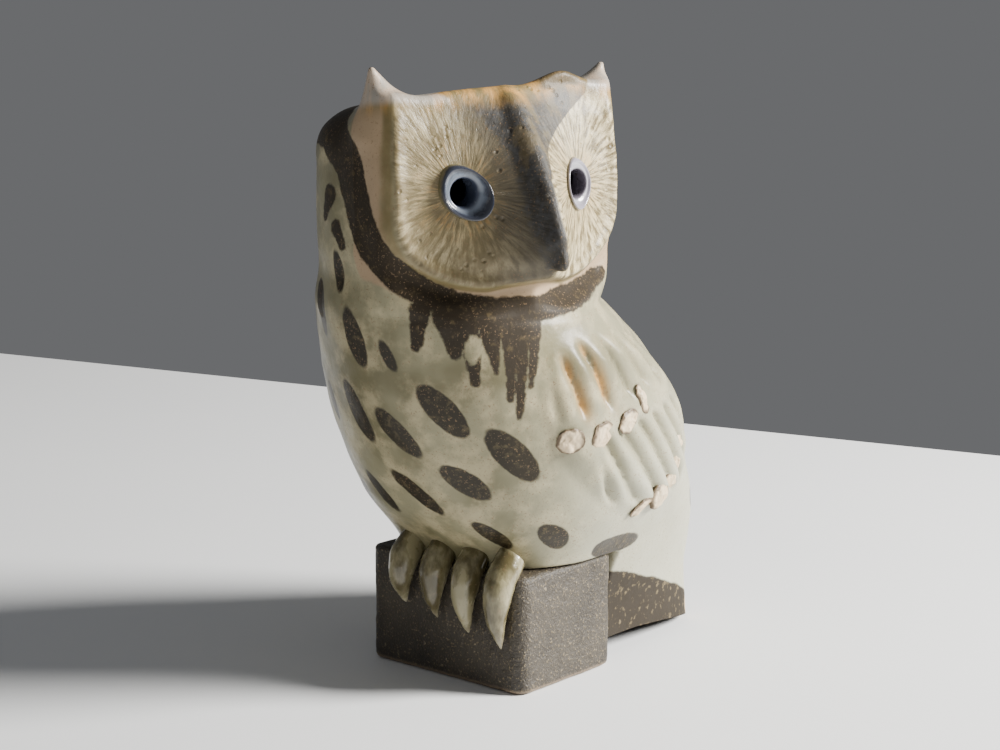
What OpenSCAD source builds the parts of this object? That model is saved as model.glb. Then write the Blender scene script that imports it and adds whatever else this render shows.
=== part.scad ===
// Stoneware owl on a perch block: a hollow body, tail skirt and turned head, with applied
// face discs, beak, eye rings, ear tufts, wings, feather pads and claws. Millimetres, +Z up.
// The owl looks along -Y and its head is turned to its own left (+X).

/* [Perch block] */
// Width of the block, side to side
block_w = 68; // [57:1:82]
// Depth of the block, front to back
block_d = 48; // [40:1:57]
// Height of the block
block_h = 40; // [33:1:48]
// Radius of the block's upright corners
block_corner_r = 5; // [3:0.5:10]

/* [Body] */
// Wall of the hollow body, head and tail
wall = 5; // [4:0.5:6]
// Half width of the body where it meets the block
foot_half_w = 36; // [31:1:43]
// Half width of the body at its widest
belly_half_w = 52; // [44:1:62]
// Reach of the chest in front of the block's front face
chest_reach = 36; // [30:1:43]
// Height of the joint between body and head
neck_z = 128; // [112:1:150]
// Radius of the neck joint
neck_r = 46.5; // [39:0.5:54]
// Distance of the neck's axis behind the block's front face
neck_y = 7; // [4:1:12]

/* [Tail] */
// Distance of the tail tip behind the block's front face
tail_reach = 112; // [96:1:132]
// Half width of the tail where it stands on the table
tail_half_w = 28; // [24:1:33]
// Rise of the tail's lower edge beside the block
tail_arch = 7; // [3:1:12]

/* [Head] */
// Turn of the head to the owl's left, in degrees
head_turn = 74; // [60:1:80]
// Height of the crown's front edge above the neck joint
head_h = 71.5; // [60:0.5:86]
// Backward slope of the crown, in degrees
crown_slope = 10; // [5:1:12]
// Height of the knob on the crown's front edge, beside the left ear tuft
crown_knob = 4; // [0:0.5:5]
// Thickness of the crown plate
crown_t = 5; // [4:0.5:6]
// Depth of the hollow in the middle of the crown plate
crown_dish = 2; // [0:0.5:2.5]
// Half width of the head across the face
head_half_w = 45; // [38:1:54]
// Reach of the back of the head behind the neck's axis
head_back = 43; // [36:1:51]
// Rounding of the back of the head below the crown
head_round = 9; // [4:1:12]

/* [Face] */
// Distance of the face's outer rim in front of the neck's axis
rim_q = 27; // [23:1:30]
// Distance of the ridge between the discs at the crown, in front of the neck's axis
brow_q = 30; // [28:1:33]
// Distance of the ridge at eye height, in front of the neck's axis
ridge_q = 52; // [45:1:58]
// Distance of the ridge at the chin, in front of the neck's axis
chin_q = 50; // [47:1:54]
// Thickness of a face disc
disc_t = 4; // [3:0.5:5]
// Height of the eyes, as a share of the head's height
eye_share = 0.56; // [0.53:0.01:0.59]
// Distance of an eye from the ridge
eye_p = 21; // [18:1:25]
// Radius of the pierced pupil
pupil_r = 4.8; // [4:0.2:5.4]
// Half width of the almond eye ring
ring_half_w = 7.5; // [7:0.5:9]
// Half height of the almond eye ring
ring_half_h = 10; // [8.5:0.5:11.5]
// Thickness of an eye ring
ring_t = 4; // [3.5:0.5:5.5]
// Half width of the beak and brow ridge
beak_half_w = 9; // [7:0.5:11]
// Thickness of the beak near its tip
beak_t = 5; // [4:0.5:7]
// Height of the right ear tuft above the crown
ear_right_h = 10; // [7:1:13]
// Height of the left ear tuft above the crown
ear_left_h = 5; // [4:1:9]
// Radius of an ear tuft at its root
ear_r = 7; // [5:0.5:8]

/* [Wings] */
// Half height of a wing
wing_half_h = 34; // [29:1:38]
// Half of the angle that a wing covers around the body, in degrees
wing_half_a = 38; // [32:1:44]
// Angle of a wing's middle from the owl's front, in degrees
wing_mid_a = 100; // [94:1:106]
// Thickness of a wing in its middle
wing_t = 3; // [2:0.5:4]
// Height of the feather ribs on a wing
rib_h = 0.5; // [0:0.1:0.8]
// Thickness of a feather pad
pad_t = 1.6; // [1:0.2:2.4]

/* [Claws] */
// Length of the outer claws
claw_len = 22; // [18:1:25]
// Extra length of each claw nearer the owl's left
claw_step = 2.5; // [0:0.5:3]
// Radius of a claw at its root
claw_r = 4.8; // [4:0.2:5.6]
// Distance between neighbouring claws of one foot
claw_pitch = 14; // [12:0.5:16]
// Distance between the middles of the two feet
feet_pitch = 28; // [27:0.5:33]
// Distance of the feet from the block's middle, towards the owl's left
feet_x = 6; // [3:0.5:8]

/* [Fits] */
// Glaze joint between pieces that meet on flat faces
joint = 0.2; // [0.1:0.05:0.3]
// Glaze joint under pieces that lie on a curved wall
skin_joint = 0.3; // [0.3:0.05:0.4]

/* [Hidden] */

around = 60;           // points around the body and the head
level_step = 6;        // height between the body's rows of points
fine = 0.5;            // step for finding a wall's direction, in degrees

// The body at five heights: height, half width, middle, front, back, squareness
foot_z = block_h + joint;
neck_top = neck_z - joint / 2;
body_rise = neck_top - foot_z;
body_rows = [
    [foot_z, foot_half_w, 42, 3, tail_reach, 3],
    [foot_z + 0.25 * body_rise, belly_half_w - 4, 36, -0.42 * chest_reach, tail_reach - 8, 2.3],
    [foot_z + 0.55 * body_rise, belly_half_w, 27, -0.81 * chest_reach, tail_reach - 19, 2.1],
    [foot_z + 0.8 * body_rise, (belly_half_w + neck_r) / 2 + 1.5, 17, -chest_reach,
        tail_reach - 36, 2],
    [neck_top, neck_r, neck_y, neck_y - neck_r, neck_y + neck_r, 2]];

// The tail skirt, from the table up to the body
tail_rows = [
    [0, tail_half_w, 42, 3, tail_reach, 4.5],
    [foot_z / 2, (tail_half_w + foot_half_w) / 2 - 3, 42, 3, tail_reach, 3.6],
    [foot_z - joint, foot_half_w, 42, 3, tail_reach, 3]];

// The head at six heights: height, ridge, rim half width, rim, back half width, back reach,
// and how far the round neck has given way to the flat-faced head
head_foot = neck_z + joint / 2;
crown_z = neck_z + head_h;
chin_z = neck_z + 0.14 * head_h;
eye_z = neck_z + eye_share * head_h;
beak_z = eye_z - 0.28 * head_h;
head_rows = [
    [head_foot, neck_r, neck_r, rim_q, neck_r, neck_r, 0],
    [chin_z, chin_q - 2, head_half_w - 2, rim_q, head_half_w, head_back, 0.75],
    [beak_z, ridge_q + 8 - disc_t, head_half_w - 1, rim_q, head_half_w + 1, head_back, 1],
    [eye_z + 0.04 * head_h, ridge_q - disc_t, head_half_w, rim_q, head_half_w + 1, head_back, 1],
    [crown_z - 0.17 * head_h, 0.45 * ridge_q + 0.55 * brow_q - disc_t, head_half_w, rim_q - 2,
        head_half_w, head_back - 1, 1],
    [crown_z, brow_q - disc_t, head_half_w - 2, rim_q - disc_t, head_half_w - head_round * 0.7,
        head_back - head_round, 1]];
front_a = 60;          // half angle of the face, seen from the neck's axis
face_power = 2;      // hollowness of the discs between ridge and rim

// Outer box of the owl, which the frame is centred on
ear_p = head_half_w - ear_r + 1;
ear_q = rim_q - disc_t - 4;
knob_p = head_half_w / 2;
mid_x = (sin(head_turn) * (ridge_q + 7 + beak_t) - belly_half_w - wing_t - pad_t
    - 2 * skin_joint) / 2;
mid_y = (tail_reach + neck_y - head_half_w * sin(head_turn) - rim_q * cos(head_turn)) / 2;

function mix(a, b, t) = a + (b - a) * t;
function power(v, n) = sign(v) * pow(abs(v), n);

// A smooth curve through one column of a table of rows, at height z
function chord(rows, c, i) =
    let (a = rows[max(i - 1, 0)], b = rows[min(i + 1, len(rows) - 1)])
    (b[c] - a[c]) / (b[0] - a[0]);
function span(rows, z, i = 0) = i >= len(rows) - 2 || z < rows[i + 1][0] ? i : span(rows, z, i + 1);
function row_at(rows, c, z) =
    let (i = span(rows, z), h = rows[i + 1][0] - rows[i][0], t = (z - rows[i][0]) / h)
    (2 * t^3 - 3 * t^2 + 1) * rows[i][c] + (t^3 - 2 * t^2 + t) * h * chord(rows, c, i)
        + (3 * t^2 - 2 * t^3) * rows[i + 1][c] + (t^3 - t^2) * h * chord(rows, c, i + 1);

// A point moved square to its wall, given its two neighbours around the wall
function moved(p, before, after, off) =
    let (d = after - before, l = norm([d[0], d[1]]))
    p + off / l * [d[1], -d[0], 0];

// The body's wall at angle a from the front and height z
function body_wall(rows, a, z) =
    let (mid = row_at(rows, 2, z), n = 2 / row_at(rows, 5, z), c = cos(a),
        reach = c > 0 ? mid - row_at(rows, 3, z) : row_at(rows, 4, z) - mid)
    [row_at(rows, 1, z) * power(sin(a), n), mid - reach * power(c, n), z];
function body_point(rows, a, z, off) =
    moved(body_wall(rows, a, z), body_wall(rows, a - fine, z), body_wall(rows, a + fine, z), off);

// The head in its own frame: p to the owl's left, q out through the face.
// The front is a round neck low down and two hollowed flats that meet in a ridge higher up.
function flatness(z) = min(max(row_at(head_rows, 6, z), 0), 1);
function front_p(z) = mix(neck_r * sin(front_a), row_at(head_rows, 2, z), flatness(z));
function face_q(p, z) =
    let (s = min(abs(p) / front_p(z), 1), rim = row_at(head_rows, 3, z),
        ridge = row_at(head_rows, 1, z), flat_q = rim + (ridge - rim) * pow(1 - s, face_power),
        round_q = neck_r * sqrt(1 - pow(s * sin(front_a), 2)))
    mix(round_q, flat_q, flatness(z));
function head_wall(a, z) =
    let (b = abs(a), side = b < 90 ? (b - front_a) / (90 - front_a) : 1,
        p = b < front_a ? front_p(z) * b / front_a
            : mix(neck_r * sin(b), b < 90 ? mix(row_at(head_rows, 2, z), row_at(head_rows, 4, z), side)
                : row_at(head_rows, 4, z) * sin(b), flatness(z)),
        q = b < front_a ? face_q(p, z)
            : mix(neck_r * cos(b), b < 90 ? row_at(head_rows, 3, z) * (1 - side)
                : row_at(head_rows, 5, z) * cos(b), flatness(z)))
    [sign(a) * p, q];
function head_inset(a, z, off) =
    let (w = head_wall(a, z), d = head_wall(a + fine, z) - head_wall(a - fine, z))
    w - off / norm(d) * [-d[1], d[0]];

// The height of the crown's top, sloping back from the brow, with the knob on its front edge
function crown_top(p, q) =
    crown_z - tan(crown_slope) * (brow_q - q)
        + crown_knob * exp(-pow((p - knob_p) / 10, 2) - pow((brow_q - q) / 14, 2));
function on_head(p, q, z) =
    [p * cos(head_turn) + q * sin(head_turn), neck_y + p * sin(head_turn) - q * cos(head_turn), z];
function face_point(p, z, off) = let (q = face_q(p, z) + off) on_head(p, q, z);

// Points that fill a unit disc, as rows of a square sheet pulled round
function disc_sheet(n) =
    [for (i = [0:n]) [for (j = [0:n]) let (u = 2 * j / n - 1, v = 2 * i / n - 1)
        [u * sqrt(1 - v^2 / 2), v * sqrt(1 - u^2 / 2)]]];

// A closed solid between an outer and an inner sheet, each a list of rows of points;
// in a ring the last point of each row joins the first
module thick_sheet(outer, inner, ring = false) {
    rows = len(outer);
    cols = len(outer[0]);
    count = rows * cols;
    last = ring ? cols - 1 : cols - 2;
    function at(i, j) = i * cols + j % cols;
    function quad(a, b, c, d) = [[a, b, c], [a, c, d]];
    skins = [for (i = [0:rows - 2], j = [0:last])
        let (a = at(i, j), b = at(i, j + 1), c = at(i + 1, j + 1), d = at(i + 1, j))
        each concat(quad(a, d, c, b), quad(count + b, count + c, count + d, count + a))];
    ends = [for (i = [0, rows - 1], j = [0:last])
        let (a = at(i, j), b = at(i, j + 1))
        each i == 0 ? quad(a, b, count + b, count + a) : quad(b, a, count + a, count + b)];
    sides = ring ? [] : [for (j = [0, cols - 1], i = [0:rows - 2])
        let (a = at(i, j), b = at(i + 1, j))
        each j == 0 ? quad(b, a, count + a, count + b) : quad(a, b, count + b, count + a)];
    polyhedron([for (r = concat(outer, inner)) each r], concat(skins, ends, sides));
}

// Moves the owl from the block's front face to the middle of its own box
module centred() {
    translate([-mid_x, -mid_y, 0]) children();
}

module perch_block() {
    r = block_corner_r;
    color("#3a332c") centred()
        translate([-block_w / 2, 0, 0]) linear_extrude(block_h) {
            translate([r, 0]) square([block_w - 2 * r, block_d]);
            translate([0, r]) square([block_w, block_d - 2 * r]);
            for (x = [r, block_w - r], y = [r, block_d - r]) translate([x, y]) circle(r, $fn = 48);
        }
}

module body_shell() {
    steps = ceil(body_rise / level_step);
    levels = [for (i = [0:steps]) foot_z + body_rise * i / steps];
    function sheet(off) = [for (z = levels)
        [for (j = [0:around - 1]) body_point(body_rows, 360 * j / around, z, off)]];
    color("#b9b99c") centred() thick_sheet(sheet(0), sheet(-wall), ring = true);
}

module tail_skirt() {
    steps = 6;
    cols = 30;
    // The skirt starts just behind the block and its lower edge rises towards it
    front_y = block_d + skin_joint;
    function start_a(z) =
        let (mid = row_at(tail_rows, 2, z), reach = row_at(tail_rows, 4, z) - mid)
        90 + asin(power((front_y - mid) / reach, row_at(tail_rows, 5, z) / 2));
    function foot(across) = tail_arch * pow(abs(across), 1.5);
    function skirt_point(across, t, off) =
        let (z = mix(foot(across), foot_z - joint, t), a = 180 + across * (180 - start_a(z)))
        body_point(tail_rows, a, z, off);
    function sheet(off) = [for (i = [0:steps])
        [for (j = [0:cols]) skirt_point(2 * j / cols - 1, i / steps, off)]];
    color("#6b6350") centred() thick_sheet(sheet(0), sheet(-wall));
}

module head_shell() {
    steps = 20;
    function roof(w) = crown_top(w[0], w[1]) - crown_t - skin_joint;
    // Every column of points runs up to the crown's underside
    function shell_point(a, t, off) =
        let (level = head_inset(a, mix(head_foot, crown_z, t), off),
            z = mix(head_foot, roof(level), t), w = abs(a) < front_a ? head_inset(a, z, off) : level)
        on_head(w[0], w[1], z);
    function sheet(off) = [for (i = [0:steps])
        [for (j = [0:around - 1]) shell_point(360 * j / around - 180, i / steps, off)]];
    color("#a9a88b") centred() difference() {
        thick_sheet(sheet(0), sheet(wall), ring = true);
        for (side = [-1, 1]) pupil_bore(side);
    }
}

// The pierced pupil, straight through the face
module pupil_bore(side) {
    start = on_head(side * eye_p, 0, eye_z);
    translate(start) rotate([90, 0, head_turn]) cylinder(r = pupil_r, h = 2 * ridge_q, $fn = 48);
}

module crown_plate() {
    sheet = disc_sheet(14);
    function plate_point(s, z, drop) =
        let (rho = norm(s), a = atan2(-s[0], s[1]), w = rho * head_wall(a, z),
            front = a > -front_a && a < front_a ? disc_t * rho : 0, q = w[1] + front,
            dish = crown_dish * pow(max(1 - rho / 0.75, 0), 0.5))
        on_head(w[0], q, crown_top(w[0], q) - drop - dish);
    color("#8c7a4a") centred() thick_sheet(
        [for (r = sheet) [for (s = r) plate_point(s, crown_z, 0)]],
        [for (r = sheet) [for (s = r) plate_point(s, crown_z - crown_t, crown_t)]]);
}

// The edge of a face disc from the ridge's foot, up the ridge, along the crown and round the rim
function disc_edge(side) =
    let (low = chin_z + 3, rim_z = eye_z - 8, gap = joint / 2, bend = 14,
        rim_p = head_half_w - 2, corner_p = head_half_w - 4)
    concat([for (i = [0:18]) [gap, mix(low, disc_top(side * gap), i / 18)]],
        [for (i = [1:8]) let (p = mix(gap, corner_p, i / 8)) [p, disc_top(side * p)]],
        [for (i = [1:5]) [mix(corner_p, rim_p, i / 5), mix(disc_top(side * corner_p), rim_z, i / 5)]],
        [for (i = [1:9]) [bend + (rim_p - bend) * cos(10 * i), rim_z - (rim_z - chin_z) * sin(10 * i)]],
        [[bend / 2, mix(chin_z, low, 0.5)]]);
function disc_top(p) = crown_top(p, face_q(p, crown_z)) - crown_t - skin_joint;

// The almond outline of an eye ring, at an angle around the eye
function almond(a, grow) =
    let (c = cos(a), s = sin(a), w = ring_half_w + grow, h = ring_half_h + grow)
    [w * power(c, 1.1), h * s];

module face_disc(side) {
    edge = disc_edge(side);
    turns = 7;
    eye = [eye_p, eye_z];
    function sheet(off) = [for (i = [0:turns]) [for (e = edge)
        let (a = atan2(e[1] - eye[1], e[0] - eye[0]), s = mix(eye + almond(a, joint), e, i / turns))
        face_point(side * s[0], s[1], off)]];
    outer = sheet(disc_t);
    inner = sheet(1.8 * skin_joint);
    function order(rows) = side > 0 ? rows : [for (r = rows) [for (j = [len(r) - 1:-1:0]) r[j]]];
    thick_sheet(order(outer), order(inner), ring = true);
}

module eye_ring(side) {
    turns = 3;
    cols = 32;
    function sheet(top) = [for (i = [0:turns]) [for (j = [0:cols - 1])
        let (a = 360 * j / cols * -side, t = i / turns,
            s = mix(pupil_r * [cos(a), sin(a)], almond(a, 0), t),
            rise = top ? ring_t + 1.2 * sin(180 * t) : skin_joint)
        face_point(side * (eye_p + s[0]), eye_z + s[1], rise)]];
    thick_sheet(sheet(true), sheet(false), ring = true);
}

module beak() {
    sheet = disc_sheet(12);
    top = crown_z - crown_t - 4;
    tip = chin_z + 7;
    // Wide below the brow, narrow at the tip, thickest just above the tip
    function beak_point(s, lift) =
        let (z = mix(tip, top, (s[1] + 1) / 2), t = (z - tip) / (top - tip),
            p = s[0] * beak_half_w * (0.35 + 0.65 * sin(180 * pow(t, 0.7))),
            body = 1 - s[0]^2 - s[1]^2,
            rise = 0.8 + beak_t * pow(max(body, 0), 0.6) * (1 - 0.75 * t))
        face_point(p, z, disc_t + 2 * skin_joint + (lift ? rise : 0));
    color("#4a4640") centred() thick_sheet(
        [for (r = sheet) [for (s = r) beak_point(s, true)]],
        [for (r = sheet) [for (s = r) beak_point(s, false)]]);
}

// A pinched tuft on the crown's front corner, leaning outwards
module ear_tuft(side, ear_h) {
    sheet = disc_sheet(12);
    lean = 3;
    function tuft_point(s, top) =
        let (t = max(1 - norm(s), 0), p = side * ear_p - ear_r * s[0],
            q = ear_q + 0.7 * ear_r * s[1], z = crown_top(p, q) + skin_joint)
        top ? on_head(p + side * lean * t^2, q, z + 0.6 + (ear_h - 0.6) * pow(t, 1.4))
            : on_head(p, q, z);
    thick_sheet([for (r = sheet) [for (s = r) tuft_point(s, true)]],
        [for (r = sheet) [for (s = r) tuft_point(s, false)]]);
}

// A wing's own coordinates: x around the body and y up, both from -1 to 1
wing_mid_z = foot_z + 0.56 * body_rise;
function wing_place(s) =
    [wing_mid_a + wing_half_a * s[0] - 7 * s[1] * (1 - s[0]) / 2, wing_mid_z + wing_half_h * s[1]];
function wing_rise(s) =
    let (edge = max(1 - s[0]^2 - s[1]^2, 0))
    0.8 + (wing_t - 0.8) * pow(edge, 0.5) + rib_h * cos(900 * s[0]) * edge;
function wing_point(side, s, off) =
    let (w = wing_place(s)) body_point(body_rows, side * w[0], w[1], off);

module wing(side) {
    sheet = disc_sheet(18);
    function skin(top) = [for (r = sheet) [for (s = r)
        wing_point(side, [side * s[0], s[1]], top ? skin_joint + wing_rise(s) : skin_joint)]];
    thick_sheet(skin(true), skin(false));
}

// A row of oval pads on a wing: each entry is its place and half size in wing coordinates
module pads(side, row) {
    sheet = disc_sheet(4);
    function pad_point(pad, s, top) =
        let (w = [pad[0] + pad[2] * side * s[0], pad[1] + pad[3] * s[1]],
            dome = top ? 0.5 + (pad_t - 0.5) * pow(max(1 - s[0]^2 - s[1]^2, 0), 0.5) : 0)
        wing_point(side, w, 2 * skin_joint + wing_rise(w) + dome);
    for (pad = row)
        thick_sheet([for (r = sheet) [for (s = r) pad_point(pad, s, true)]],
            [for (r = sheet) [for (s = r) pad_point(pad, s, false)]]);
}
upper_row = [for (i = [0:3]) [-0.82 + 0.27 * i, 0.01 + 0.03 * i^1.5, 0.11, 0.11]];
lower_row = [for (i = [0:4]) [-0.28 + 0.2 * i, -0.84 + 0.03 * i^2, 0.08, 0.1]];

// A pointed claw hanging over the block's front edge
module claw(x, len) {
    root = [feet_x + x, -claw_r - joint, block_h + 0.5];
    knuckle = root + [0, -0.6, -len * 0.45];
    tip = root + [0, claw_r - 2, claw_r - len + 1];
    color("#8f8658") centred() {
        hull() {
            translate(root) sphere(r = claw_r, $fn = 20);
            translate(knuckle) sphere(r = claw_r * 0.85, $fn = 20);
        }
        hull() {
            translate(knuckle) sphere(r = claw_r * 0.85, $fn = 20);
            translate(tip) sphere(r = 1, $fn = 20);
        }
    }
}

module face_disc_right() { color("#c9c2a4") centred() face_disc(-1); }
module face_disc_left() { color("#cfc8a8") centred() face_disc(1); }
module eye_ring_right() { color("#5d6470") centred() eye_ring(-1); }
module eye_ring_left() { color("#8a8894") centred() eye_ring(1); }
module ear_tuft_right() { color("#b8b08a") centred() ear_tuft(-1, ear_right_h); }
module ear_tuft_left() { color("#c8c2a0") centred() ear_tuft(1, ear_left_h); }
module wing_right() { color("#aeb096") centred() wing(-1); }
module wing_left() { color("#aeb096") centred() wing(1); }
module upper_pads_right() { color("#d3bfa6") centred() pads(-1, upper_row); }
module upper_pads_left() { color("#d3bfa6") centred() pads(1, upper_row); }
module lower_pads_right() { color("#d3bfa6") centred() pads(-1, lower_row); }
module lower_pads_left() { color("#d3bfa6") centred() pads(1, lower_row); }
module claw_right_outer() { claw(-(feet_pitch + claw_pitch) / 2, claw_len); }
module claw_right_inner() { claw(-(feet_pitch - claw_pitch) / 2, claw_len + claw_step); }
module claw_left_inner() { claw((feet_pitch - claw_pitch) / 2, claw_len + 2 * claw_step); }
module claw_left_outer() { claw((feet_pitch + claw_pitch) / 2, claw_len + 3 * claw_step); }

perch_block();
body_shell();
tail_skirt();
head_shell();
crown_plate();
face_disc_right();
face_disc_left();
beak();
eye_ring_right();
eye_ring_left();
ear_tuft_right();
ear_tuft_left();
wing_right();
wing_left();
upper_pads_right();
upper_pads_left();
lower_pads_right();
lower_pads_left();
claw_right_outer();
claw_right_inner();
claw_left_inner();
claw_left_outer();
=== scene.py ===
# A glazed stoneware owl on its perch block. The hollow skin is shaped in one soft form, then
# parted where the potter joined the pieces, so that the glaze runs unbroken across each joint.

import math
import bmesh
import bpy
import numpy as np
import openvdb
from mathutils import Matrix, Vector


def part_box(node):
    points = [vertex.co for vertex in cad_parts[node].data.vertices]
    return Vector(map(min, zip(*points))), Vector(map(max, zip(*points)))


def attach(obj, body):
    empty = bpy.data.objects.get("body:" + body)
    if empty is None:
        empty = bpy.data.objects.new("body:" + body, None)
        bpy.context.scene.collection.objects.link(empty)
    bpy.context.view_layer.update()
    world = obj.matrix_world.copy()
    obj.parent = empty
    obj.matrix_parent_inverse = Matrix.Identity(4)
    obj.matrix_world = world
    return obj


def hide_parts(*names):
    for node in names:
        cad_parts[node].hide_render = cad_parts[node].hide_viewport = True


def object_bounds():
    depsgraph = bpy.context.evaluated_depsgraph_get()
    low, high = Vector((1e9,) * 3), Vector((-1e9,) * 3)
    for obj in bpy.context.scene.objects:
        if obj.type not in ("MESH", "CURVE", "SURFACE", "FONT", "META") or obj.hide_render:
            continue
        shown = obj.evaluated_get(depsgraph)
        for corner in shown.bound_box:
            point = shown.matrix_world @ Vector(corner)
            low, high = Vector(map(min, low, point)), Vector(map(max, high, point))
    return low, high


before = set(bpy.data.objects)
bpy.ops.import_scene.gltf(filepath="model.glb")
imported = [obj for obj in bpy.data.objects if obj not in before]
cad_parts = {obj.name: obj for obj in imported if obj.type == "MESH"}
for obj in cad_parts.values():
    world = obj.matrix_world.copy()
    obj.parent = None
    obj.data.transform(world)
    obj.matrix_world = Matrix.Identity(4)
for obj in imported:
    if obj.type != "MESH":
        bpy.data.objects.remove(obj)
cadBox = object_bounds()
mm = 0.001


def boxOf(node):
    low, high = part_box(node)
    return np.array(low) / mm, np.array(high) / mm


# Bench measures: millimetres, with x = 0 in the middle of the block and y = 0 on its front face
blockLow, blockHigh = boxOf("perch_block")
midX = -(blockLow[0] + blockHigh[0]) / 2
midY = -blockLow[1]
eyeLow, eyeHigh = boxOf("eye_ring_right")
bodyLow, bodyHigh = boxOf("body_shell")
tailBack = boxOf("tail_skirt")[1][1] + midY
neckZ = bodyHigh[2] + 0.1
eyeZ = (eyeLow[2] + eyeHigh[2]) / 2
headH = (eyeZ - neckZ) / 0.56
crownZ = neckZ + headH
chinZ = neckZ + 0.14 * headH
blockTop = blockHigh[2]
blockD = blockHigh[1] - blockLow[1]
bellyHalf = (bodyHigh[0] - bodyLow[0]) / 2
chestY = bodyLow[1] + midY + 3.5

neck = {"radius": 46.5, "y": 7.0}
turn = math.radians(74)
eyeAt = 21.0
pupilMouth = 4.2  # radius


# ---- curves through a few given stations ----

def stationsAt(rows, z):
    # a smooth curve through each column, flat beyond both ends
    table = np.array(rows, float)
    heights = table[:, 0]
    i = np.clip(np.searchsorted(heights, z, side="right") - 1, 0, len(heights) - 2)
    before, after = np.maximum(i - 1, 0), np.minimum(i + 2, len(heights) - 1)
    step = (heights[i + 1] - heights[i])
    t = np.clip((z - heights[i]) / step, 0, 1)
    slopeA = (table[i + 1] - table[before]) / (heights[i + 1] - heights[before])[..., None]
    slopeB = (table[after] - table[i]) / (heights[after] - heights[i])[..., None]
    t, step = t[..., None], step[..., None]
    value = ((2 * t**3 - 3 * t**2 + 1) * table[i] + (t**3 - 2 * t**2 + t) * step * slopeA
             + (3 * t**2 - 2 * t**3) * table[i + 1] + (t**3 - t**2) * step * slopeB)
    return [value[..., c].astype(np.float32) for c in range(1, table.shape[1])]


rise = neckZ - blockTop
bodyStations = [  # height, half width, middle, front, back, squareness
    [0, 28, 42, 3, tailBack, 4.5],
    [blockTop / 2, 29, 42, 3, tailBack, 3.6],
    [blockTop, 36, 42, 3, tailBack, 3],
    [blockTop + 0.25 * rise, bellyHalf - 4, 36, 0.42 * chestY, tailBack - 8, 2.3],
    [blockTop + 0.55 * rise, bellyHalf, 27, 0.81 * chestY, tailBack - 19, 2.1],
    [blockTop + 0.8 * rise, bellyHalf - 1.2, 17, chestY, tailBack - 36, 2],
    [neckZ, neck["radius"], neck["y"], neck["y"] - neck["radius"], neck["y"] + neck["radius"], 2]]
headStations = [  # height, ridge, rim half width, rim, half width behind, reach behind, flatness
    [neckZ, 46.5, 46.5, 27, 46.5, 46.5, 0],
    [chinZ, 48, 43, 27, 45, 43, 0.75],
    [eyeZ - 0.28 * headH, 56, 44, 27, 46, 43, 1],
    [eyeZ + 0.04 * headH, 48, 45, 27, 46, 43, 1],
    [crownZ - 0.17 * headH, 35.9, 45, 25, 45, 42, 1],
    [crownZ, 26, 43, 23, 38.7, 34, 1]]


def clamp(v, low=0.0, high=1.0):
    return np.minimum(np.maximum(v, low), high)


def mix(a, b, t):
    return a + (b - a) * t


def smooth(v, low=0.0, high=1.0):
    t = clamp((v - low) / (high - low))
    return t * t * (3 - 2 * t)


def softMin(a, b, k):
    h = clamp(0.5 + 0.5 * (b - a) / k)
    return mix(b, a, h) - k * h * (1 - h)


def softMax(a, b, k):
    return -softMin(-a, -b, k)


# ---- the body's wall ----

def bodyTurn(x, y, z):
    # the angle round the body from its front, towards the owl's left, and how far out the point is
    half, mid, front, back, square = stationsAt(bodyStations, z)
    reach = np.where(y < mid, mid - front, back - mid)
    u, v = np.abs(x) / half, np.abs(y - mid) / reach
    a, b = u ** (square / 2), v ** (square / 2)
    out = (a * a + b * b + 1e-9) ** (1 / square)
    angle = np.degrees(np.arctan2(np.sign(x) * a, np.where(y < mid, b, -b)))
    return angle, out, np.hypot(x, y - mid)


wing = {"midZ": blockTop + 0.56 * rise, "halfH": 34.0, "midA": 100.0, "halfA": 38.0, "thick": 2.8}


def wingPlace(angle, z):
    # a wing's own coordinates: along the body and up, both from -1 to 1
    up = (z - wing["midZ"]) / wing["halfH"]
    along = (np.abs(angle) - wing["midA"] + 3.5 * up) / (wing["halfA"] + 3.5 * up)
    return along, up


def featherCurve(angle, z):
    # two tiers of long soft ridges, each running down to a bare feather tip
    a = np.abs(angle)
    upper = (a - 70.0) / 11.0
    upperOn = smooth(z, 92 + 0.12 * (a - 70), 99 + 0.12 * (a - 70)) * (1 - smooth(z, 113, 123))
    lower = (a - 86.0 - 11.0 * (86.0 - z) / 25) / 8.6
    lowerOn = smooth(z, 57, 64) * (1 - smooth(z, 84 + 0.12 * (a - 70), 90 + 0.12 * (a - 70)))
    span = smooth(a, 62, 68) * (1 - smooth(a, 122, 132))
    return upper, upperOn * span, lower, lowerOn * span * smooth(a, 76, 82)


def grooveDepth(angle, z):
    upper, upperOn, lower, lowerOn = featherCurve(angle, z)
    ridgeA = np.abs(np.cos(math.pi * upper)) ** 0.8
    ridgeB = np.abs(np.cos(math.pi * lower)) ** 0.8
    return (1 - ridgeA) * upperOn, (1 - ridgeB) * lowerOn


def wingRise(angle, z):
    along, up = wingPlace(angle, z)
    edge = 1 - along**2 - up**2
    deepA, deepB = grooveDepth(angle, z)
    swell = wing["thick"] * smooth(edge, -0.12, 0.55)
    return swell * (1 - 0.25 * smooth(up, 0.4, 1.0)) - (3.1 * deepA + 2.9 * deepB) * smooth(edge, 0, 0.3)


def bodyForm(x, y, z):
    angle, out, radius = bodyTurn(x, y, z)
    return (out - 1) * radius / np.maximum(out, 0.2) - wingRise(angle, z)


# ---- the turned head ----

def toHead(x, y):
    # p runs to the owl's left and q out through its face
    return (x * math.cos(turn) + (y - neck["y"]) * math.sin(turn),
            x * math.sin(turn) - (y - neck["y"]) * math.cos(turn))


def fromHead(p, q, z):
    return np.array([p * math.cos(turn) + q * math.sin(turn),
                     neck["y"] + p * math.sin(turn) - q * math.cos(turn), z + 0 * p])


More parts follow.
